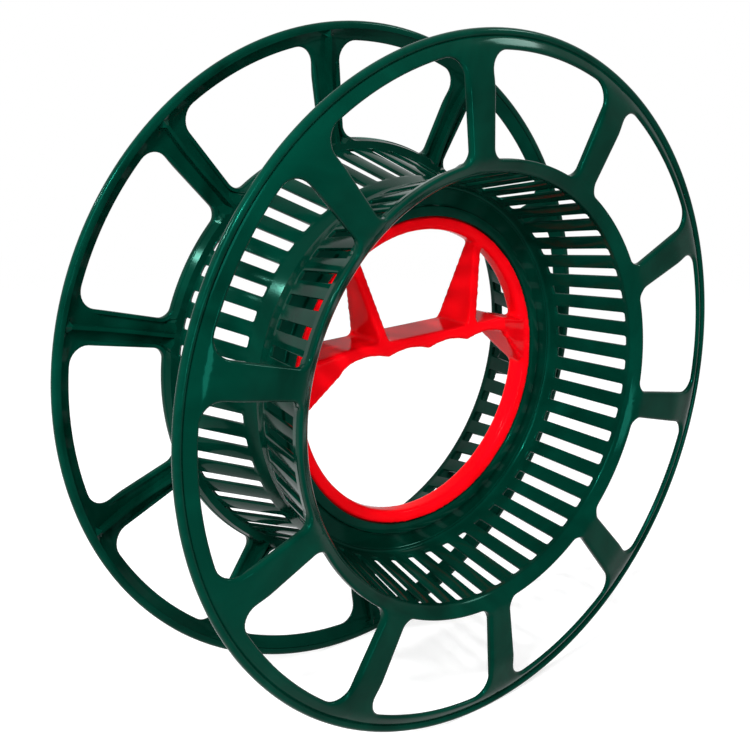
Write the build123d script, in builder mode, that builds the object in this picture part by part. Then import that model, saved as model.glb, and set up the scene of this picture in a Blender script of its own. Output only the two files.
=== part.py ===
from build123d import *
import os
from math import cos, radians, sin

# A moulded basket spool for wire: two equal half spools, joined at their narrow
# waist, and a red carrying grip on a ring that turns between them.
# The spool's axis is Y, the front flange is on the -Y side and +Z is up.
# Sizes are millimetres. A distance "out" is measured along the axis from the
# plane where the two halves meet.

# Whole spool
flange_diameter = 300.0
overall_width = 103.0
mouth_diameter = 186.0
waist_diameter = 168.4
drum_wall = 1.8

# Flange
lip_drop = 4.5
shoulder_run = 1.0
shoulder_drop = 0.5
brow_drop = 2.1
rim_drop = 4.7
flange_plate = 2.2
flange_depth = 8.0
rim_bead_width = 3.4
rim_bead_rise = 0.7
rim_bead_chamfer = 1.3
hub_band = 3.7
rim_band = 4.6
hub_corner = 5.5
rim_corner = 8.5
return_wall = 1.6
wall_depth = 5.7
spoke_count = 10
spoke_width_at_hub = 11.0
spoke_width_at_rim = 14.0
spoke_rib = 1.5
spoke_turn = 94.2

# Lengths along a spoke, drawn for a window of this depth; they grow with it
drawn_window_depth = 43.5
brow_length = 14.0
full_wall_length = 17.0
wall_tail_length = 5.5

# Slots in the conical drum
slots_per_sector = 5
slot_angle = 3.0
slot_start = 8.0
mouth_land = 2.6
slot_relief = 0.4

# Web, collar and the groove that the grip's ring turns in
web_thickness = 3.6
web_width = 12.9
collar_wall = 4.5
collar_height = 5.2
ring_wall = 5.7
ring_half_length = 4.8
tongue_height = 3.0
tongue_half_length = 1.2
running_gap = 0.4

# Grip
grip_depth = 22.0
grip_top = 19.4
grip_thickness = 4.9
finger_depth = 2.0
finger_pitch = 23.0
finger_count = 4
bar_end_land = 0.8
strut_width = 5.0
strut_foot = 25.0
strut_head_angle = 57.0
strut_head_depth = 7.0
gusset_top = 14.5
gusset_bottom = -8.0
ring_edge = 1.4
weld_depth = 1.0

# Values that follow from the sizes above
crown_out = overall_width / 2
lip_out = crown_out - lip_drop
inner_face = crown_out - flange_depth
rim_out = crown_out - rim_drop
flange_radius = flange_diameter / 2
rim_wall_radius = flange_radius - rim_bead_width
mouth_radius = mouth_diameter / 2
hub_wall_radius = mouth_radius + drum_wall
window_inner_radius = hub_wall_radius + hub_band
window_outer_radius = rim_wall_radius - rim_band
shoulder_radius = window_inner_radius + shoulder_run
window_scale = (window_outer_radius - window_inner_radius) / drawn_window_depth
crown_radius = window_outer_radius - brow_length * window_scale
shoulder_out = crown_out - shoulder_drop
brow_out = crown_out - brow_drop
wall_back = crown_out - wall_depth
wall_start = shoulder_radius + full_wall_length * window_scale
wall_end = crown_radius + wall_tail_length * window_scale
wall_end_out = crown_out - brow_drop * wall_tail_length / brow_length - flange_plate
waist_radius = waist_diameter / 2
waist_inner = waist_radius - drum_wall
ring_outer = waist_inner - web_width
ring_inner = ring_outer - ring_wall
collar_inner = ring_outer + running_gap
collar_radius = collar_inner + collar_wall
tongue_radius = ring_outer + tongue_height
groove_radius = tongue_radius + running_gap
groove_half_width = tongue_half_length + running_gap
mouth_end = lip_out - mouth_land
slot_end = mouth_end - slot_relief
slot_count = spoke_count * slots_per_sector
first_slot_turn = spoke_turn + 180 / slot_count - slot_angle / 2
grip_low = grip_top - grip_thickness - finger_depth
fingers_half_length = finger_count * finger_pitch / 2
strut_head_x = ring_inner * cos(radians(strut_head_angle))
strut_head_z = ring_inner * sin(radians(strut_head_angle))
gusset_start = fingers_half_length - bar_end_land
gusset_end = ring_inner + weld_depth


def profile_point(radius, out):
    """A point of a front half's profile, drawn in the XY plane."""
    return (radius, -out)


def spoke_outline(inner, outer, inset):
    """Corners of a spoke between two radii, with its sides drawn in by an inset."""
    growth = (spoke_width_at_rim - spoke_width_at_hub) / (window_outer_radius - window_inner_radius)
    inner_half = (spoke_width_at_hub + growth * (inner - window_inner_radius)) / 2 - inset
    outer_half = (spoke_width_at_hub + growth * (outer - window_inner_radius)) / 2 - inset
    return [(inner, -inner_half), (outer, -outer_half), (outer, outer_half), (inner, inner_half)]


# Hollow side of the flange: a channel along each spoke, with a rib down its middle
with BuildPart() as channels:
    with BuildSketch(Plane.XZ):
        with PolarLocations(0, spoke_count, start_angle=spoke_turn):
            Polygon(*spoke_outline(hub_wall_radius, rim_wall_radius, return_wall), align=None)
        Circle(hub_wall_radius, mode=Mode.SUBTRACT)
        with PolarLocations(0, spoke_count, start_angle=spoke_turn):
            Rectangle(flange_diameter, spoke_rib, align=(Align.MIN, Align.CENTER), mode=Mode.SUBTRACT)
    extrude(amount=crown_out)
    with BuildSketch(Plane.XY):
        with BuildLine():
            Polyline(profile_point(mouth_radius, 0),
                     profile_point(mouth_radius, lip_out - flange_plate),
                     profile_point(shoulder_radius, shoulder_out - flange_plate),
                     profile_point(crown_radius, crown_out - flange_plate),
                     profile_point(window_outer_radius, brow_out - flange_plate),
                     profile_point(rim_wall_radius, rim_out - flange_plate),
                     profile_point(rim_wall_radius, 0), close=True)
        make_face()
    revolve(axis=Axis.Y, mode=Mode.INTERSECT)

# Beyond the middle of the spokes their side walls get lower and end in the plate
with BuildPart() as wall_taper:
    with BuildSketch(Plane.XZ):
        Circle(rim_wall_radius)
        Circle(wall_start, mode=Mode.SUBTRACT)
        with PolarLocations(0, spoke_count, start_angle=spoke_turn):
            Rectangle(flange_diameter, spoke_rib, align=(Align.MIN, Align.CENTER), mode=Mode.SUBTRACT)
    extrude(amount=crown_out)
    with BuildSketch(Plane.XY):
        with BuildLine():
            Polyline(profile_point(wall_start, 0),
                     profile_point(wall_start, wall_back),
                     profile_point(wall_end, wall_end_out),
                     profile_point(window_outer_radius, brow_out - flange_plate),
                     profile_point(rim_wall_radius, rim_out - flange_plate),
                     profile_point(rim_wall_radius, 0), close=True)
        make_face()
    revolve(axis=Axis.Y, mode=Mode.INTERSECT)

# One slot of the drum, with sides that point at the axis
with BuildPart() as slot_cutter:
    with BuildSketch(Plane.XZ):
        with BuildLine():
            Polyline((waist_inner - drum_wall, slot_start), (hub_wall_radius + drum_wall, slot_start),
                     (hub_wall_radius + drum_wall, slot_end), (waist_inner - drum_wall, slot_end), close=True)
        make_face()
    revolve(axis=Axis.Z, revolution_arc=slot_angle)

# Windows through the flange, between the spokes
with BuildPart() as windows:
    with BuildSketch(Plane.XZ) as window_field:
        Circle(window_outer_radius)
        Circle(window_inner_radius, mode=Mode.SUBTRACT)
        with PolarLocations(0, spoke_count, start_angle=spoke_turn):
            Polygon(*spoke_outline(mouth_radius, flange_radius, 0), align=None, mode=Mode.SUBTRACT)
        window_middle = (window_inner_radius + window_outer_radius) / 2
        fillet(window_field.vertices().filter_by(lambda corner: corner.center().length < window_middle), hub_corner)
        far_corners = [corner for corner in window_field.vertices()
                       if corner.center().length > window_outer_radius - rim_corner / 2]
        fillet(far_corners, rim_corner)
    extrude(amount=overall_width)

# Front half spool
with BuildPart() as front_half:
    with BuildSketch(Plane.XY):
        # flange with a crowned face and a bead round its rim
        with BuildLine():
            Polyline(profile_point(mouth_radius, inner_face), profile_point(mouth_radius, lip_out),
                     profile_point(shoulder_radius, shoulder_out),
                     profile_point(crown_radius, crown_out),
                     profile_point(window_outer_radius, brow_out),
                     profile_point(rim_wall_radius, rim_out),
                     profile_point(rim_wall_radius, inner_face),
                     profile_point(crown_radius, wall_back),
                     profile_point(wall_start, wall_back),
                     profile_point(shoulder_radius, inner_face), close=True)
        make_face()
        with BuildLine():
            Polyline(profile_point(rim_wall_radius, inner_face),
                     profile_point(rim_wall_radius, rim_out),
                     profile_point(rim_wall_radius + rim_bead_rise, rim_out + rim_bead_rise),
                     profile_point(flange_radius - rim_bead_chamfer, rim_out + rim_bead_rise),
                     profile_point(flange_radius, rim_out + rim_bead_rise - rim_bead_chamfer),
                     profile_point(flange_radius, inner_face + rim_bead_chamfer),
                     profile_point(flange_radius - rim_bead_chamfer, inner_face), close=True)
        make_face()
        # conical drum wall
        with BuildLine():
            Polyline(profile_point(mouth_radius, inner_face + flange_plate), profile_point(mouth_radius, mouth_end),
                     profile_point(waist_inner, 0), profile_point(waist_radius, 0),
                     profile_point(hub_wall_radius, mouth_end),
                     profile_point(hub_wall_radius, inner_face + flange_plate), close=True)
        make_face()
        # web, collar and half of the ring's groove
        with BuildLine():
            Polyline(profile_point(groove_radius, 0), profile_point(waist_inner + drum_wall / 2, 0),
                     profile_point(waist_inner + drum_wall / 2, web_thickness),
                     profile_point(collar_radius, web_thickness),
                     profile_point(collar_radius, collar_height),
                     profile_point(collar_inner, collar_height),
                     profile_point(collar_inner, groove_half_width),
                     profile_point(groove_radius, groove_half_width), close=True)
        make_face()
    revolve(axis=Axis.Y)
    add(channels.part, mode=Mode.SUBTRACT)
    add(wall_taper.part, mode=Mode.SUBTRACT)
    add(windows.part, mode=Mode.SUBTRACT)
    with Locations(Plane.XZ):
        with PolarLocations(0, slot_count, start_angle=first_slot_turn):
            add(slot_cutter.part, mode=Mode.SUBTRACT)
front_half.part.label = "front_half"

# Rear half spool, the same moulding turned over about the line of a spoke
with BuildPart() as rear_half:
    spoke_line = Axis((0, 0, 0), (cos(radians(spoke_turn)), 0, sin(radians(spoke_turn))))
    add(front_half.part.rotate(spoke_line, 180))
rear_half.part.label = "rear_half"

# Grip ring: a ring that turns in the collars, with the bar that the hand holds
with BuildPart() as grip_ring:
    with BuildSketch(Plane.XY):
        with BuildLine():
            Polyline((ring_inner, -ring_half_length), (ring_outer, -ring_half_length),
                     (ring_outer, -tongue_half_length), (tongue_radius, -tongue_half_length),
                     (tongue_radius, tongue_half_length), (ring_outer, tongue_half_length),
                     (ring_outer, ring_half_length), (ring_inner, ring_half_length), close=True)
        profile = make_face()
        chamfer(profile.vertices().group_by(Axis.X)[0], ring_edge)
    revolve(axis=Axis.Y)
    # bar with a straight top and finger hollows along its underside
    with BuildSketch(Plane.XZ):
        with BuildLine():
            Polyline((-fingers_half_length, grip_low), (-fingers_half_length, grip_top),
                     (fingers_half_length, grip_top), (fingers_half_length, grip_low))
            for finger in range(finger_count):
                left = -fingers_half_length + finger * finger_pitch
                ThreePointArc((left, grip_low), (left + finger_pitch / 2, grip_low + finger_depth),
                              (left + finger_pitch, grip_low))
        make_face()
    extrude(amount=grip_depth / 2, both=True)
    # struts from the bar up to the ring: leaning in the front view and tapered
    # in the end view
    for side in (-1, 1):
        with BuildPart(mode=Mode.PRIVATE) as strut:
            with BuildSketch(Plane.XZ):
                with BuildLine():
                    Polyline((side * (strut_foot - strut_width / 2), grip_top - weld_depth),
                             (side * (strut_foot + strut_width / 2), grip_top - weld_depth),
                             (side * (strut_head_x + strut_width / 2), strut_head_z),
                             (side * (strut_head_x - strut_width / 2), strut_head_z), close=True)
                make_face()
            extrude(amount=grip_depth / 2, both=True)
            with BuildSketch(Plane.YZ):
                with BuildLine():
                    Polyline((-grip_depth / 2, grip_top - weld_depth), (grip_depth / 2, grip_top - weld_depth),
                             (grip_depth / 2, grip_top), (strut_head_depth / 2, strut_head_z),
                             (-strut_head_depth / 2, strut_head_z), (-grip_depth / 2, grip_top), close=True)
                make_face()
            extrude(amount=ring_inner, both=True, mode=Mode.INTERSECT)
        add(strut.part)
    # gussets from the ends of the bar to the ring, as deep as the bar and then
    # as narrow as the ring
    for side in (-1, 1):
        with BuildPart(mode=Mode.PRIVATE) as gusset:
            with BuildSketch(Plane.XZ):
                with BuildLine():
                    Polyline((side * gusset_start, grip_low), (side * gusset_start, grip_top),
                             (side * gusset_end, gusset_top), (side * gusset_end, gusset_bottom), close=True)
                make_face()
            extrude(amount=grip_depth / 2, both=True)
            with BuildSketch(Plane.XY):
                with BuildLine():
                    Polyline((side * gusset_start, -grip_depth / 2), (side * gusset_start, grip_depth / 2),
                             (side * gusset_end, ring_half_length), (side * gusset_end, -ring_half_length), close=True)
                make_face()
            extrude(amount=ring_inner, both=True, mode=Mode.INTERSECT)
        add(gusset.part)
grip_ring.part.label = "grip_ring"

os.makedirs("parts", exist_ok=True)
for piece in (front_half, rear_half, grip_ring):
    export_step(piece.part, f"parts/{piece.part.label}.step")
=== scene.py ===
# %% [markdown]
# # A moulded basket spool for wire
#
# The object is an empty plastic spool: two equal dark green halves that meet
# at a narrow waist, and a red carrying grip on a ring that turns in the core.
# This lesson dresses the solid model. Blender works in metres; the lengths
# below are written in millimetres and made metres when a mesh is made. The
# spool's axis is Y, the front flange is on the -Y side and +Z is up.

# %% Load the solid model
from math import atan2, cos, hypot, pi, radians, sin, sqrt

import bmesh
import bpy
from mathutils import Matrix, Vector


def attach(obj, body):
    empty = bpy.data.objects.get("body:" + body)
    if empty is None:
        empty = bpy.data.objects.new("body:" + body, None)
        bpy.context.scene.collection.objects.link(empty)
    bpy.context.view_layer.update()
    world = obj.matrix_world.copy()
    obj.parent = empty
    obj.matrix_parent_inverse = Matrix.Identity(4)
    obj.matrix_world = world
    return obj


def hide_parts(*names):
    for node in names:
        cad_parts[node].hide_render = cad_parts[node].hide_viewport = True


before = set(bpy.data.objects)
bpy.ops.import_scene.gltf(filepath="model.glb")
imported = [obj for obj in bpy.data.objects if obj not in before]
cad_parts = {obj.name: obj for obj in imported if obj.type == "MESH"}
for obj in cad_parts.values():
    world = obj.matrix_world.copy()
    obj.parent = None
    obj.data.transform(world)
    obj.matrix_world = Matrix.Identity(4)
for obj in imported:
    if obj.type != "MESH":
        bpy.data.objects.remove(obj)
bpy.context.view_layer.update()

# %% [markdown]
# ## One helper for every node
#
# A material or a Geometry Nodes tree is easier to read as a few sums than as
# a list of links. `Wire` wraps the outlet of a node, and adding or
# multiplying two wires adds the node that does it. `add_node` makes any
# other node: its settings come first, because they decide which sockets it
# has, and then its sockets get a value or a wire.

# %% Wires and nodes
class Wire:
    """The outlet of a node, ready for use in a Python sum."""

    def __init__(self, tree, socket):
        self.tree, self.socket = tree, socket

    def sum_node(self, operation, first, second):
        return add_node(self.tree, "ShaderNodeMath", {"operation": operation}, {0: first, 1: second})

    def __add__(self, other):
        return self.sum_node("ADD", self, other)

    def __sub__(self, other):
        return self.sum_node("SUBTRACT", self, other)

    def __mul__(self, other):
        return self.sum_node("MULTIPLY", self, other)

    def __truediv__(self, other):
        return self.sum_node("DIVIDE", self, other)

    def __rsub__(self, other):
        return self.sum_node("SUBTRACT", other, self)

    __radd__ = __add__
    __rmul__ = __mul__


def set_socket(tree, socket, value):
    """Gives a socket a fixed value or the wire that feeds it."""
    if isinstance(value, Wire):
        tree.links.new(value.socket, socket)
    else:
        socket.default_value = value


def add_node(tree, kind, settings=None, sockets=None, outlet=0):
    """Adds a node with its settings and sockets, and returns one of its outlets."""
    node = tree.nodes.new(kind)
    for name, value in (settings or {}).items():
        if name == "stops":
            ramp = node.color_ramp
            ramp.elements[0].position, ramp.elements[0].color = value[0]
            ramp.elements[1].position, ramp.elements[1].color = value[1]
        else:
            setattr(node, name, value)
    for name, value in (sockets or {}).items():
        set_socket(tree, node.inputs[name], value)
    return Wire(tree, node.outputs[outlet]) if node.outputs else None


print("helpers ready")

# %% [markdown]
# ## The camera
#
# The photograph looks at the front flange from the left and a little from
# above, from about 0.6 m. The place, the lens and the shift were fitted to
# the circles of the spool: both rims, both mouths, the windows' edges, the
# collar and the ring of the grip, with the spokes and the bar. The shift
# suggests that the spool was not in the middle of an uncropped photograph.

# %% Camera
CAMERA_PLACE = Vector((-0.3675, -0.4250, 0.1642))
CAMERA_TURN, CAMERA_DIP, CAMERA_ROLL = radians(43.47), radians(16.58), radians(0.90)
LENS, SENSOR_WIDTH, SHIFT_X, SHIFT_Y = 62.77, 36, -0.129, 0.004

camera_data = bpy.data.cameras.new("camera")
camera_data.sensor_fit = "HORIZONTAL"
camera_data.sensor_width = SENSOR_WIDTH
camera_data.lens = LENS
camera_data.shift_x, camera_data.shift_y = SHIFT_X, SHIFT_Y
camera_data.clip_start = 0.01
camera = bpy.data.objects.new("camera", camera_data)
look = Vector((sin(CAMERA_TURN) * cos(CAMERA_DIP), cos(CAMERA_TURN) * cos(CAMERA_DIP), -sin(CAMERA_DIP)))
aimed = look.to_track_quat("-Z", "Y").to_matrix().to_4x4()
camera.matrix_world = Matrix.Translation(CAMERA_PLACE) @ aimed @ Matrix.Rotation(CAMERA_ROLL, 4, "Z")
bpy.context.scene.collection.objects.link(camera)
bpy.context.scene.camera = camera
print("camera at", tuple(round(value, 3) for value in CAMERA_PLACE))

# %% [markdown]
# ## A white studio
#
# The photograph's background is plain white. The floor is a pale sheet that
# is seen as white, by the camera and in reflections, and it still takes the
# spool's soft shadow. Away from the spool, where the lamps no longer reach,
# the sheet goes over into plain white. The world is white in the same way, and
# weaker as a light, so that the colours render about as they are written.

# %% Floor and world
bpy.context.scene.view_settings.view_transform = "Standard"
WHITE, SHEET_GREY = (1, 1, 1, 1), (0.5, 0.5, 0.5, 1)
FLOOR_LEVEL, FLOOR_REACH = -0.15, 6
SEEN_GLOW, WORLD_LIGHT = 0.72, 0.06
BLANK_FROM, BLANK_TO = 0.35, 1.1


def seen_rays(tree):
    """1 where a ray comes straight from the camera, from a mirror or through glass."""
    rays = tree.nodes.new("ShaderNodeLightPath")
    kinds = ("Is Camera Ray", "Is Glossy Ray", "Is Transmission Ray")
    camera_ray, shiny_ray, clear_ray = [Wire(tree, rays.outputs[name]) for name in kinds]
    either = camera_ray + shiny_ray + clear_ray
    return add_node(tree, "ShaderNodeMath", {"operation": "MINIMUM"}, {0: either, 1: 1.0})


floor_mesh = bpy.data.meshes.new("floor")
sheet_signs = ((-1, -1), (1, -1), (1, 1), (-1, 1))
sheet_corners = [(x * FLOOR_REACH, y * FLOOR_REACH, FLOOR_LEVEL) for x, y in sheet_signs]
floor_mesh.from_pydata(sheet_corners, [], [(0, 1, 2, 3)])
floor = bpy.data.objects.new("floor", floor_mesh)
bpy.context.scene.collection.objects.link(floor)

floor_paint = bpy.data.materials.new("floor_paint")
floor_paint.use_nodes = True
floor_tree = floor_paint.node_tree
floor_tree.nodes.clear()
matt = add_node(floor_tree, "ShaderNodeBsdfDiffuse", {}, {"Color": SHEET_GREY})
glow = add_node(floor_tree, "ShaderNodeEmission", {}, {"Color": WHITE, "Strength": SEEN_GLOW})
both = add_node(floor_tree, "ShaderNodeAddShader", {}, {0: matt, 1: glow})
sheet_place = add_node(floor_tree, "ShaderNodeTexCoord", outlet="Object")
sheet_reach = add_node(floor_tree, "ShaderNodeVectorMath", {"operation": "LENGTH"}, {0: sheet_place},
                       outlet="Value")
far_away = add_node(floor_tree, "ShaderNodeMapRange", {"interpolation_type": "SMOOTHSTEP"},
                    {"Value": sheet_reach, "From Min": BLANK_FROM, "From Max": BLANK_TO})
blank = add_node(floor_tree, "ShaderNodeEmission", {}, {"Color": WHITE, "Strength": 1.0})
near_far = add_node(floor_tree, "ShaderNodeMixShader", {}, {0: far_away, 1: both, 2: blank})
seen = add_node(floor_tree, "ShaderNodeMixShader", {}, {0: seen_rays(floor_tree), 1: matt, 2: near_far})
add_node(floor_tree, "ShaderNodeOutputMaterial", {}, {"Surface": seen})
floor_mesh.materials.append(floor_paint)

world = bpy.data.worlds.new("studio")
bpy.context.scene.world = world
world.use_nodes = True
sky_tree = world.node_tree
sky_tree.nodes.clear()
white = add_node(sky_tree, "ShaderNodeBackground", {}, {"Color": WHITE, "Strength": 1.0})
dim = add_node(sky_tree, "ShaderNodeBackground", {}, {"Color": WHITE, "Strength": WORLD_LIGHT})
backdrop = add_node(sky_tree, "ShaderNodeMixShader", {}, {0: seen_rays(sky_tree), 1: dim, 2: white})
add_node(sky_tree, "ShaderNodeOutputWorld", {}, {"Surface": backdrop})
print("floor at", FLOOR_LEVEL)

# %% [markdown]
# ## Soft lamps
#
# A large soft lamp above and left of the camera is the main light, and a small
# one beside it draws the crisp bright lines along the rounded edges. A weaker
# lamp on the right fills the drum, one behind lights the rims, and a low one
# in front reaches the inside of the mouth.

# %% Lamps
CENTRE, CORE_TOP = (0, 0, 0), (0, 0, 0.06)


def add_lamp(name, place, target, size, power):
    """A round soft lamp that faces its target."""
    data = bpy.data.lights.new(name, "AREA")
    data.shape, data.size, data.energy = "DISK", size, power
    lamp = bpy.data.objects.new(name, data)
    lamp.location = place
    lamp.rotation_euler = (Vector(target) - Vector(place)).to_track_quat("-Z", "Y").to_euler()
    bpy.context.scene.collection.objects.link(lamp)


add_lamp("main_lamp", (-0.75, -0.62, 0.68), CENTRE, 0.6, 12)
add_lamp("spark_lamp", (-0.7, -0.45, 0.75), CENTRE, 0.09, 9)
add_lamp("fill_lamp", (1.0, -0.5, 0.9), CENTRE, 0.3, 6)
add_lamp("rim_lamp", (-0.9, 0.5, 0.8), CENTRE, 0.12, 9)
add_lamp("low_lamp", (-0.15, -0.9, -0.02), CORE_TOP, 0.25, 3)
print("five lamps")

# %% [markdown]
# ## Moulded plastic
#
# The spool is injection moulded and glossy. Up close such plastic is never
# one flat colour: the pigment swirls faintly along the flow, the skin is a
# little uneven, handling leaves fine dull scuffs, and the outer rim, which
# rolls on floors, is rubbed paler. The highlights of the photograph are
# tinted like the plastic, so the shader's specular tint is too.

# %% Plastic finish
RUB_FROM, RUB_TO, RUB_SHARE = 0.1480, 0.1506, 0.25
SKIN_STRENGTH, SKIN_DEPTH = 0.16, 0.0006


def moulded_plastic(name, pale, deep, worn, tint, gloss, roughness):
    """A glossy moulded plastic with flow marks, scuffs and a rubbed outer rim."""
    finish = bpy.data.materials.new(name)
    finish.use_nodes = True
    tree = finish.node_tree
    shader = tree.nodes["Principled BSDF"]
    place = add_node(tree, "ShaderNodeTexCoord", outlet="Object")
    flow = add_node(tree, "ShaderNodeTexNoise", {},
                    {"Vector": place, "Scale": 22.0, "Detail": 3.0, "Distortion": 1.4})
    scuffs = add_node(tree, "ShaderNodeTexNoise", {},
                      {"Vector": place, "Scale": 240.0, "Detail": 5.0, "Roughness": 0.65})
    ripple = add_node(tree, "ShaderNodeTexNoise", {}, {"Vector": place, "Scale": 45.0, "Detail": 1.5})
    grain = add_node(tree, "ShaderNodeTexNoise", {}, {"Vector": place, "Scale": 1500.0, "Detail": 2.0})
    parts = tree.nodes.new("ShaderNodeSeparateXYZ")
    set_socket(tree, parts.inputs[0], place)
    across, up = Wire(tree, parts.outputs["X"]), Wire(tree, parts.outputs["Z"])
    reach = add_node(tree, "ShaderNodeMath", {"operation": "SQRT"}, {0: across * across + up * up})
    rub = add_node(tree, "ShaderNodeMapRange", {"clamp": True},
                   {"Value": reach + (scuffs - 0.5) * 0.004, "From Min": RUB_FROM, "From Max": RUB_TO})
    colour = add_node(tree, "ShaderNodeValToRGB", {"stops": [(0.3, deep), (0.7, pale)]}, {"Fac": flow})
    rubbed = add_node(tree, "ShaderNodeMix", {"data_type": "RGBA"},
                      {0: rub * RUB_SHARE, 6: colour, 7: worn}, outlet=2)
    set_socket(tree, shader.inputs["Base Color"], rubbed)
    set_socket(tree, shader.inputs["Roughness"], (scuffs - 0.5) * 0.05 + rub * 0.03 + roughness)
    skin = ripple + grain * 0.002 + scuffs * 0.003
    bump = add_node(tree, "ShaderNodeBump", {},
                    {"Height": skin, "Strength": SKIN_STRENGTH, "Distance": SKIN_DEPTH})
    set_socket(tree, shader.inputs["Normal"], bump)
    shader.inputs["IOR"].default_value = 1.5
    shader.inputs["Specular IOR Level"].default_value = gloss
    shader.inputs["Specular Tint"].default_value = tint
    return finish


green = moulded_plastic("green_plastic_look", pale=(0.0002, 0.028, 0.017, 1), deep=(0.0001, 0.013, 0.0077, 1),
                        worn=(0.002, 0.055, 0.036, 1), tint=(0.05, 1.0, 0.72, 1), gloss=0.055, roughness=0.11)
red = moulded_plastic("red_plastic_look", pale=(0.84, 0.0015, 0.006, 1), deep=(0.74, 0.001, 0.004, 1),
                      worn=(0.84, 0.006, 0.01, 1), tint=(1.0, 0.3, 0.3, 1), gloss=0.022, roughness=0.13)
print("two finishes")

# %% [markdown]
# ## The section of a flange
#
# The main radii and heights repeat those of the solid model, with rounded
# edges where it has plain ones. The spokes are drawn about 0.7 mm wider on
# each side, and the windows' walls less deep, because that came closer to the
# photograph. Seen in section, a flange climbs from the lip of the mouth to a
# shoulder, runs nearly level along the spokes, and falls over a brow to the
# rolled rim. A mould leaves no sharp bends there, so the height is averaged
# over a short way.

# %% Heights of the flange
TURN, SECTORS = 94.2, 10
SPOKE_TURN = radians(180 / SECTORS)
LIP = 93.0
HUB_EDGE, RIM_EDGE, MOUTH, ROLL = 98.5, 142.0, 94.0, 146.6
HUB_CORNER, RIM_CORNER = 5.5, 8.5
HUB_HALF, RIM_HALF = 5.7, 7.3
PLATE, WALL, BACK = 2.2, 1.6, 43.5
DRUM_BACK, RIB_HALF, EASE = 94.585, 0.75, 1.2
FACE = [(93, 47), (99.5, 51), (128, 51.5), (142, 49.4), (146.6, 46.8)]
WALL_FOOT = [(98.7, 46.6), (104, 47.9), (128, 48.3), (133.5, 48.475), (134, 60)]
RIB_FOOT = [(99.5, 43.5), (116.5, 45.8), (128, 45.8), (146.6, 43.5)]


def along(line, radius):
    """The height of a line of points at a radius."""
    if radius <= line[0][0]:
        return line[0][1]
    for (r0, s0), (r1, s1) in zip(line, line[1:]):
        if radius <= r1:
            return s0 + (s1 - s0) * (radius - r0) / (r1 - r0)
    return line[-1][1]


def face_height(radius):
    """The flange's outer face, with its bends eased over twice EASE."""
    ease = min(EASE, max(0.0, min(radius - LIP, ROLL - radius)))
    return sum(along(FACE, radius + ease * step / 3) for step in range(-3, 4)) / 7


def underside(radius, aside, depth):
    """The flange's inner side: hub band, return wall, middle rib or channel floor.

    The point lies so far aside from a spoke's middle line and so deep in the
    plastic, measured from the window's edge.
    """
    floor = face_height(radius) - PLATE
    if radius < HUB_EDGE + 0.1:
        return BACK
    if depth < WALL + 0.05:
        return min(along(WALL_FOOT, radius), floor)
    if aside < RIB_HALF + 0.05:
        return along(RIB_FOOT, radius)
    return floor


print("height of lip, spoke and rim:", [round(face_height(radius), 2) for radius in (LIP, 120, ROLL)])

# %% [markdown]
# ## One tenth of a flange
#
# The flange repeats ten times, so one window with its half spokes is made
# and Geometry Nodes copy it round. The window's outline is two arcs and
# two nearly straight sides, joined by corner arcs. Each point of the outline
# knows the direction into the plastic, so the rounded edge is simply the
# outline moved a little further each time and raised along a quarter circle.

# %% Outline of a window
def bow(centre, radius, first, last, count):
    """Points of an arc with the directions away from its centre."""
    turns = [first + (last - first) * index / count for index in range(count + 1)]
    ways = [(cos(turn), sin(turn)) for turn in turns]
    return [((centre[0] + radius * x, centre[1] + radius * y), (x, y)) for x, y in ways]


def half_window():
    """Half the outline from the hub's middle to the rim's middle: places and ways into the plastic."""
    lean = (RIM_HALF - HUB_HALF) / (RIM_EDGE - HUB_EDGE)
    u, w = (cos(SPOKE_TURN), sin(SPOKE_TURN)), (sin(SPOKE_TURN), -cos(SPOKE_TURN))
    size = sqrt(1 + lean * lean)
    inward = ((w[0] - lean * u[0]) / size, (w[1] - lean * u[1]) / size)

    def corner(distance, round_off):
        """The centre of a corner's arc, found by closing in on it."""
        run = distance
        for _ in range(30):
            off = HUB_HALF + lean * (run - HUB_EDGE) + round_off * size
            run = sqrt(distance * distance - off * off)
        return run * u[0] + off * w[0], run * u[1] + off * w[1]

    near = corner(HUB_EDGE + HUB_CORNER, HUB_CORNER)
    far = corner(RIM_EDGE - RIM_CORNER, RIM_CORNER)
    near_turn, far_turn = atan2(near[1], near[0]), atan2(far[1], far[0])
    side_turn = atan2(-inward[1], -inward[0])
    hub = [(place, (-x, -y)) for place, (x, y) in bow((0, 0), HUB_EDGE, 0, near_turn, 11)]
    last_turn = side_turn - 2 * pi if side_turn > 0 else side_turn
    hub_bend = bow(near, HUB_CORNER, near_turn - pi, last_turn, 8)
    rim_bend = bow(far, RIM_CORNER, side_turn, far_turn, 8)
    start, end = hub_bend[-1][0], rim_bend[0][0]
    way = (-inward[0], -inward[1])
    side = [((start[0] + (end[0] - start[0]) * k / 10, start[1] + (end[1] - start[1]) * k / 10), way)
            for k in range(1, 10)]
    rim = bow((0, 0), RIM_EDGE, far_turn, 0, 8)
    return hub + hub_bend[1:] + side + rim_bend + rim[1:]


HUB_POINTS, LINE_POINTS, RIM_POINTS = 16, 17, 13
HUB_STEP, RIM_STEP = SPOKE_TURN / (HUB_POINTS - 1), SPOKE_TURN / (RIM_POINTS - 1)


def half_border(inner, outer):
    """The sector's border, one point for each point of the half outline."""
    hub = [(inner * cos(HUB_STEP * k), inner * sin(HUB_STEP * k)) for k in range(HUB_POINTS)]
    runs = [inner + 2.0, HUB_EDGE - 0.3, HUB_EDGE + 0.4, 101.5]
    runs += [101.5 + (134.5 - 101.5) * k / 10 for k in range(1, 11)]
    runs += [138.0, 141.0, 144.0]
    line = [(run * cos(SPOKE_TURN), run * sin(SPOKE_TURN)) for run in runs]
    rim = [(outer * cos(RIM_STEP * k), outer * sin(RIM_STEP * k)) for k in range(RIM_POINTS - 1, -1, -1)]
    return hub + line + rim


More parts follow.
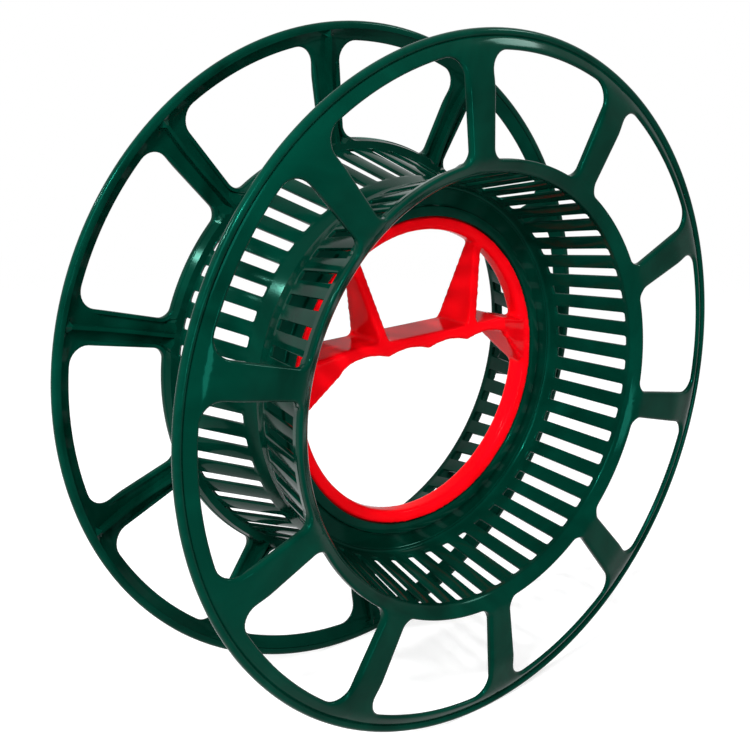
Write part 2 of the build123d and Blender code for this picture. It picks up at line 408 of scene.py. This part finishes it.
half = half_window()
print("half outline:", len(half), "points; border:", len(half_border(MOUTH, ROLL)))

# %% Mesh of one tenth
class Shell:
    """Points in millimetres and the faces between rows of them."""

    def __init__(self):
        self.points, self.faces = [], []

    def row(self, places):
        """Adds points and returns their numbers."""
        self.points += places
        return list(range(len(self.points) - len(places), len(self.points)))

    def sew(self, first, second, closed=False):
        """Joins two rows of points with faces."""
        pairs = list(zip(first, second))
        for (a, b), (c, d) in zip(pairs, pairs[1:] + (pairs[:1] if closed else [])):
            self.faces.append((a, c, d, b))

    def mesh(self, name):
        """The shell as a Blender mesh in metres."""
        made = bpy.data.meshes.new(name)
        made.from_pydata([(x / 1000, y / 1000, z / 1000) for x, y, z in self.points], [], self.faces)
        return made


def full_loop(places):
    """Adds the mirrored half to a half loop."""
    return places + [(x, -y) for x, y in places[-2:0:-1]]


# ROUND is the radius of the outer edge; PROUD is how far the plastic stands
# into the window past the outline above.
# DEEP_INSIDE is further from a window's edge than any plastic reaches.
ROUND, PROUD = 1.5, 0.5
DEEP_INSIDE = 99
FRONT_STEPS = (0, 0.08, 0.3, 0.7, 1.15, ROUND)
BACK_STEPS = ((0, 0.4), (0.12, 0.12), (0.4, 0), (1.3, 0), (WALL, 0), (2.0, 0), (2.6, 0))
RIB_STEPS = (1.5, 1.0, 0.75, 0.55, 0)
ROLL_LINE = [(146.75, 46.55), (146.95, 46.75), (147.35, 47.2), (147.9, 47.45), (148.5, 47.45), (149.1, 47.2),
             (149.55, 46.75), (149.85, 46.2), (149.99, 45.5), (149.97, 44.9), (149.75, 44.3), (149.3, 43.8),
             (148.7, 43.5), (147.2, 43.5), (146.7, 43.55)]


def flange_tenth():
    """One window of a flange with half a spoke on either side."""
    shell = Shell()
    outline = [place for place, _ in half]
    ways = [way for _, way in half]

    def pushed(depth):
        return [(p[0] + (depth - PROUD) * n[0], p[1] + (depth - PROUD) * n[1]) for p, n in zip(outline, ways)]

    def lifted(places, height):
        return [(x, -height(x, z), z) for x, z in places]

    def aside(x, z):
        return abs(-sin(SPOKE_TURN) * x + cos(SPOKE_TURN) * abs(z))

    front = []
    for depth in FRONT_STEPS:
        fall = ROUND - sqrt(max(0.0, ROUND ** 2 - (ROUND - depth) ** 2))
        ring = full_loop(pushed(depth))
        front.append(shell.row(lifted(ring, lambda x, z: face_height(hypot(x, z)) - fall)))
    inner, border = pushed(ROUND), half_border(MOUTH, ROLL)
    for share in (1 / 3, 2 / 3, 1):
        places = [(a[0] + (b[0] - a[0]) * share, a[1] + (b[1] - a[1]) * share) for a, b in zip(inner, border)]
        front.append(shell.row(lifted(full_loop(places), lambda x, z: face_height(hypot(x, z)))))

    back = []
    for depth, rise in BACK_STEPS:
        ring = full_loop(pushed(depth))
        back.append(shell.row(lifted(ring, lambda x, z: underside(hypot(x, z), aside(x, z), depth) + rise)))
    inner, border = pushed(BACK_STEPS[-1][0]), half_border(DRUM_BACK, ROLL)
    for step, share in zip(RIB_STEPS, (0.4, 0.6, 0.7, 0.8, 1)):
        places = []
        for k, (a, b) in enumerate(zip(inner, border)):
            on_spoke = HUB_POINTS <= k < HUB_POINTS + LINE_POINTS
            part = 1 - step / aside(*a) if on_spoke else share
            places.append((a[0] + (b[0] - a[0]) * part, a[1] + (b[1] - a[1]) * part))
        ring = full_loop(places)
        back.append(shell.row(lifted(ring, lambda x, z: underside(hypot(x, z), aside(x, z), DEEP_INSIDE))))

    for rows in (front, back):
        for first, second in zip(rows, rows[1:]):
            shell.sew(first, second, closed=True)
    shell.sew(front[0], back[0], closed=True)

    first_rim = HUB_POINTS + LINE_POINTS
    rim_index = range(first_rim, first_rim + 2 * RIM_POINTS - 1)
    rows = [[front[-1][k] for k in rim_index]]
    turns = [atan2(shell.points[number][2], shell.points[number][0]) for number in rows[0]]
    for radius, height in ROLL_LINE:
        rows.append(shell.row([(radius * cos(t), -height, radius * sin(t)) for t in turns]))
    rows.append([back[-1][k] for k in rim_index])
    for first, second in zip(rows, rows[1:]):
        shell.sew(first, second)
    return shell


tenth = flange_tenth()
print("one tenth of a flange:", len(tenth.faces), "faces")

# %% [markdown]
# ## One slot of the drum
#
# The drum is a thin cone with fifty slots that run from near the waist to the
# mouth. One slot with the plastic round it is a cell of 7.2 degrees: its
# inner skin, its outer skin, the slot's walls, the rounded lip above and the
# turned foot below, with the web, the collar and the groove that holds the
# grip's ring. The cell's edges match the flange's points, so they merge.

# %% Mesh of one slot
FOOT_RADIUS, CONE_GAIN, CONE_HEIGHT, DRUM_WALL = 82.4, 10.6, 44.4, 1.8
SLOT_TOP_INSIDE, SLOT_TOP_OUTSIDE = 44.0, 43.3
CELLS = 50
CELL = [HUB_STEP * k for k in range(-3, 4)]
CELL_LOW = 6.5
SLOT_LOW, SLOT_HALF, SLOT_CORNER, MEAN = 8.0, 2.304, 0.8, 88.0
LIP_LINE = [(93.66, 47.2), (93.34, 46.9), (93.1, 46.45), (93.0, 45.8)]
FOOT_LINE = [(83.5, 4.75), (83.2, 4.1), (82.75, 3.7), (82.3, 3.62), (82.05, 3.85), (81.75, 3.85), (81.5, 3.6),
             (75.3, 3.6), (74.8, 3.7), (74.5, 4.0), (74.4, 4.7), (74.15, 5.08), (73.7, 5.2),
             (70.6, 5.2), (70.15, 5.08), (69.9, 4.7), (69.9, 1.6), (72.9, 1.6), (72.9, 0.0), (84.2, 0.0)]


def cone(height, depth):
    """Radius of the drum's inner skin at a height, or deeper in its wall."""
    return FOOT_RADIUS + CONE_GAIN * height / CONE_HEIGHT + depth


def slot_loop(low, high, grow):
    """A rounded slot in the unrolled skin, grown outwards: side offset and height."""
    x, bend = SLOT_HALF - SLOT_CORNER, SLOT_CORNER + grow
    bottom, top = low + SLOT_CORNER, high - SLOT_CORNER
    corners = [(-x, bottom, 180), (x, bottom, 270), (x, top, 0), (-x, top, 90)]
    arcs = [[(cx + bend * cos(radians(t + turn)), cy + bend * sin(radians(t + turn))) for turn in (0, 45, 90)]
            for cx, cy, t in corners]
    loop = []
    for arc, after in zip(arcs, arcs[1:] + arcs[:1]):
        (x0, y0), (x1, y1) = arc[2], after[0]
        loop += arc[1:]
        loop += [(x0 + (x1 - x0) * k / 4, y0 + (y1 - y0) * k / 4) for k in (1, 2, 3)]
        loop.append(after[0])
    return loop


def drum_skin(shell, high, top, depth, into):
    """One skin of a cell with its slot; returns the slot's edge and the cell's lowest and highest rows."""
    rings = []
    for grow, sink in ((0, 0.35), (0.12, 0.1), (0.4, 0)):
        deep = depth + into * sink
        rings.append(shell.row([(cone(s, deep) * cos(a / MEAN), -s, cone(s, deep) * sin(a / MEAN))
                                for a, s in slot_loop(SLOT_LOW, high, grow)]))
    loop = slot_loop(SLOT_LOW, high, 0)
    border = [(turn, CELL_LOW) for turn in CELL]
    border += [(CELL[-1], loop[k][1]) for k in range(7, 12)]
    border += [(turn, top) for turn in reversed(CELL)]
    border += [(CELL[0], loop[k][1]) for k in range(19, 24)]
    edge = shell.row([(cone(s, depth) * cos(t), -s, cone(s, depth) * sin(t)) for t, s in border])
    for first, second in zip(rings, rings[1:] + [edge]):
        shell.sew(first, second, closed=True)
    return rings[0], edge[:7], edge[18:11:-1]


def drum_cell():
    """One fiftieth of the drum with its foot, web and collar."""
    shell = Shell()

    def ring_rows(line):
        """One row of the cell at each radius and height of a line."""
        return [shell.row([(r * cos(t), -s, r * sin(t)) for t in CELL]) for r, s in line]

    slot_in, low_in, top_in = drum_skin(shell, SLOT_TOP_INSIDE, CONE_HEIGHT, 0, 1)
    slot_out, low_out, _ = drum_skin(shell, SLOT_TOP_OUTSIDE, BACK, DRUM_WALL, -1)
    shell.sew(slot_in, slot_out, closed=True)
    lip = ring_rows([(MOUTH, face_height(MOUTH))] + LIP_LINE) + [top_in]
    foot = [low_in] + ring_rows(FOOT_LINE) + [low_out]
    for line in (lip, foot):
        for first, second in zip(line, line[1:]):
            shell.sew(first, second)
    return shell


cell = drum_cell()
print("one cell of the drum:", len(cell.faces), "faces")

# %% [markdown]
# ## Copies round the axis
#
# Geometry Nodes set the same piece round the spool's axis any number of
# times. Points stacked at the centre carry one copy each, and each copy is
# turned by its number. The copies are made real and their edges merged, so
# that the light runs over the joints as on one moulding.

# %% Tree that repeats a piece round the axis
INPUTS = (("Piece", "NodeSocketGeometry"), ("Copies", "NodeSocketInt"), ("First Turn", "NodeSocketFloat"),
          ("Merge Distance", "NodeSocketFloat"), ("Finish", "NodeSocketMaterial"))
MERGE_REACH = 0.00002


def ring_tree():
    """Sets copies of a piece round the Y axis and merges their edges."""
    tree = bpy.data.node_groups.new("ring_of_copies", "GeometryNodeTree")
    for name, kind in INPUTS:
        tree.interface.new_socket(name=name, in_out="INPUT", socket_type=kind)
    tree.interface.new_socket(name="Ring", in_out="OUTPUT", socket_type="NodeSocketGeometry")
    entry = tree.nodes.new("NodeGroupInput")
    piece, copies, first, reach, finish = [Wire(tree, entry.outputs[name]) for name, _ in INPUTS]
    number = add_node(tree, "GeometryNodeInputIndex")
    turn = 0.0 - (first + number * (2 * pi) / copies)
    way = add_node(tree, "ShaderNodeCombineXYZ", {}, {"Y": turn})
    points = add_node(tree, "GeometryNodeMeshLine", {}, {"Count": copies, "Offset": (0, 0, 0)})
    copied = add_node(tree, "GeometryNodeInstanceOnPoints", {},
                      {"Points": points, "Instance": piece, "Rotation": way})
    real = add_node(tree, "GeometryNodeRealizeInstances", {}, {"Geometry": copied})
    merged = add_node(tree, "GeometryNodeMergeByDistance", {}, {"Geometry": real, "Distance": reach})
    smooth = add_node(tree, "GeometryNodeSetShadeSmooth", {}, {"Geometry": merged})
    dressed = add_node(tree, "GeometryNodeSetMaterial", {}, {"Geometry": smooth, "Material": finish})
    add_node(tree, "NodeGroupOutput", {}, {0: dressed})
    return tree


RING_OF_COPIES = ring_tree()


def ring_of(shell, name, copies, first_turn, finish):
    """A plain mesh of copies of a shell set round the axis."""
    carrier = bpy.data.objects.new(name, shell.mesh(name))
    bpy.context.scene.collection.objects.link(carrier)
    modifier = carrier.modifiers.new("ring", "NODES")
    modifier.node_group = RING_OF_COPIES
    values = {"Copies": copies, "First Turn": first_turn, "Merge Distance": MERGE_REACH, "Finish": finish}
    for item in RING_OF_COPIES.interface.items_tree:
        if item.in_out == "INPUT" and item.name in values:
            modifier[item.identifier] = values[item.name]
    carrier.update_tag()
    bpy.context.view_layer.update()
    graph = bpy.context.evaluated_depsgraph_get()
    made = bpy.data.meshes.new_from_object(carrier.evaluated_get(graph))
    bpy.data.objects.remove(carrier)
    return made


first_window = radians(TURN - 180 / SECTORS)
flange_mesh = ring_of(tenth, "flange", SECTORS, first_window, green)
drum_mesh = ring_of(cell, "drum", CELLS, first_window, green)
print("flange:", len(flange_mesh.polygons), "faces; drum:", len(drum_mesh.polygons), "faces")

# %% [markdown]
# ## The two halves
#
# Flange and drum are one moulding, so their meshes are merged at the hub. The
# rear half is the same moulding turned half round a spoke's middle line, as
# two equal halves would meet on the real spool.

# %% Front half and rear half
CREASE = radians(38)


def moulding(name, meshes, matrix, finish, node, body):
    """One closed piece from several meshes that share their edges."""
    work = bmesh.new()
    for part in meshes:
        work.from_mesh(part)
    bmesh.ops.remove_doubles(work, verts=work.verts, dist=MERGE_REACH)
    bmesh.ops.recalc_face_normals(work, faces=work.faces)
    open_edges = sum(1 for edge in work.edges if not edge.is_manifold)
    work.transform(matrix)
    made = bpy.data.meshes.new(name)
    work.to_mesh(made)
    work.free()
    made.materials.clear()
    made.materials.append(finish)
    made.polygons.foreach_set("use_smooth", [True] * len(made.polygons))
    made.set_sharp_from_angle(angle=CREASE)
    piece = bpy.data.objects.new(name, made)
    bpy.context.scene.collection.objects.link(piece)
    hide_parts(node)
    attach(piece, body)
    print(name + ":", len(made.polygons), "faces,", open_edges, "open edges")


spoke_line = Vector((cos(radians(TURN)), 0, sin(radians(TURN))))
as_drawn, turned_over = Matrix.Identity(4), Matrix.Rotation(pi, 4, spoke_line)
both_meshes = [flange_mesh, drum_mesh]
moulding("front_moulding", both_meshes, as_drawn, green, "front_half", "spool")
moulding("rear_moulding", both_meshes, turned_over, green, "rear_half", "spool")

# %% [markdown]
# ## The carrying grip
#
# The red grip is one moulding as well: a ring, two struts and a bar with
# hollows for four fingers. The solid model already has that shape, with plain
# edges. Its mesh is copied and merged, rebuilt as an even skin of small faces,
# and that skin is relaxed a little. Edges, finger bumps and inner corners all
# come out rounded, as the mould makes them.

# %% Grip
TOUCHING = 0.000002
GRIP_GRAIN, GRIP_PASSES = 0.0008, 14


def relaxed_copy(node, name, finish, body, grain, passes):
    """A copy of a node's mesh with all its edges and inner corners rounded."""
    work = bmesh.new()
    work.from_mesh(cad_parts[node].data)
    bmesh.ops.remove_doubles(work, verts=work.verts, dist=TOUCHING)
    made = bpy.data.meshes.new(name)
    work.to_mesh(made)
    work.free()
    made.materials.clear()
    made.materials.append(finish)
    piece = bpy.data.objects.new(name, made)
    bpy.context.scene.collection.objects.link(piece)
    skin = piece.modifiers.new("skin", "REMESH")
    skin.mode, skin.voxel_size, skin.use_smooth_shade = "VOXEL", grain, True
    relax = piece.modifiers.new("relax", "SMOOTH")
    relax.factor, relax.iterations = 0.5, passes
    bpy.context.view_layer.update()
    relaxed = bpy.data.meshes.new_from_object(piece.evaluated_get(bpy.context.evaluated_depsgraph_get()))
    piece.modifiers.clear()
    piece.data = relaxed
    relaxed.name = name
    if not relaxed.materials:
        relaxed.materials.append(finish)
    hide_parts(node)
    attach(piece, body)
    print(name + ":", len(relaxed.polygons), "faces")


relaxed_copy("grip_ring", "carrying_grip", red, "grip", GRIP_GRAIN, GRIP_PASSES)

# %% [markdown]
# ## Finishing
#
# The scene is brought up to date once more.

# %% Bring the scene up to date
bpy.context.view_layer.update()
